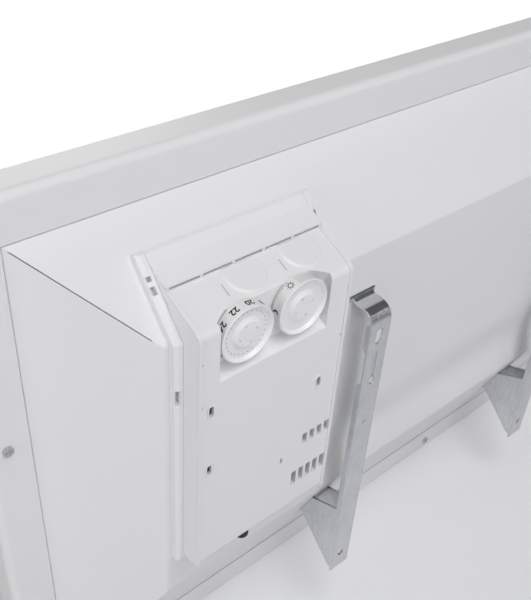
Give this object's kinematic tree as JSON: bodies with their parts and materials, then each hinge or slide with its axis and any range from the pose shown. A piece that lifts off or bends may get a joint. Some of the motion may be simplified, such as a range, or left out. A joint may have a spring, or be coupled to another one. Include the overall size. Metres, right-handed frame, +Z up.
{
  "type": "wall-hung electric convector heater",
  "caption": "Panel convector heater that hooks onto two wall brackets, with a plastic control box and two dials on its wall side.",
  "frame": {"origin": "on the wall plane, in the middle of the four wall screws", "axes": "+X along the width towards the control box, +Y out of the heater's back into the wall, +Z up"},
  "size_m": [0.7, 0.0925, 0.419],
  "materials": {
    "white_sheet": "satin white powder coat",
    "galvanised": "galvanised",
    "screw_steel": "zinc plated",
    "fin_aluminium": "extruded",
    "rod_steel": "heat darkened",
    "ceramic_bush": "ceramic",
    "white_plastic": "satin white",
    "dial_plastic": "satin white",
    "black_plastic": "matt black",
    "terminal_plastic": "natural polyamide",
    "relay_plastic": "blue",
    "capacitor_plastic": "yellow",
    "board": "green solder mask",
    "fuse_glass": "clear",
    "brown_wire": "silicone insulation",
    "blue_wire": "silicone insulation",
    "earth_wire": "silicone insulation",
    "seal_rubber": "matt"
  },
  "bodies": {
    "wall_brackets": {"wall_bracket_left": "galvanised", "wall_bracket_right": "galvanised"},
    "heater": {"front_panel": "white_sheet", "rear_casing": "white_sheet", "casing_screws": "screw_steel", "outlet_grille": "white_sheet", "air_deflector": "galvanised", "front_baffle": "galvanised", "heat_shield": "galvanised", "element_rod": "rod_steel", "element_fins": "fin_aluminium", "element_terminals": "screw_steel", "element_support_left": "galvanised", "element_support_right": "galvanised", "support_bushes": "ceramic_bush", "overheat_cutout": "black_plastic", "cutout_clamp": "galvanised", "cutout_screws": "screw_steel", "live_wire": "brown_wire", "link_wire": "brown_wire", "neutral_wire": "blue_wire", "wire_grommet": "seal_rubber", "earth_stud": "screw_steel", "earth_wire": "earth_wire", "pin_saddles": "galvanised", "hinge_pins": "screw_steel", "control_base": "white_plastic", "control_cover": "white_plastic", "base_screws": "screw_steel", "temperature_potentiometer": "black_plastic", "mode_switch": "black_plastic", "control_board": "board", "board_screws": "screw_steel", "relay": "relay_plastic", "smoothing_capacitor": "black_plastic", "dropper_capacitor": "capacitor_plastic", "board_fuse": "fuse_glass", "terminal_block": "terminal_plastic", "terminal_screws": "screw_steel", "temperature_sensor": "black_plastic", "cord_gland": "seal_rubber", "cord_clamp": "black_plastic", "clamp_screws": "screw_steel"},
    "temperature_knob": {"temperature_dial": "dial_plastic", "temperature_spindle": "white_plastic"},
    "mode_knob": {"mode_dial": "dial_plastic", "mode_spindle": "white_plastic"}
  },
  "joints": [
    {"name": "tilt", "type": "hinge", "parent": "wall_brackets", "child": "heater", "pos_m": [0, -0.04121, -0.056], "axis": [1, 0, 0], "range_deg": [0, 12]},
    {"name": "temperature_turn", "type": "hinge", "parent": "heater", "child": "temperature_knob", "pos_m": [0.2272, -0.0012, 0.1808], "axis": [0, 1, 0], "range_deg": [0, 270]},
    {"name": "mode_turn", "type": "hinge", "parent": "heater", "child": "mode_knob", "pos_m": [0.188, -0.0012, 0.1808], "axis": [0, 1, 0], "range_deg": [0, 240]}
  ]
}
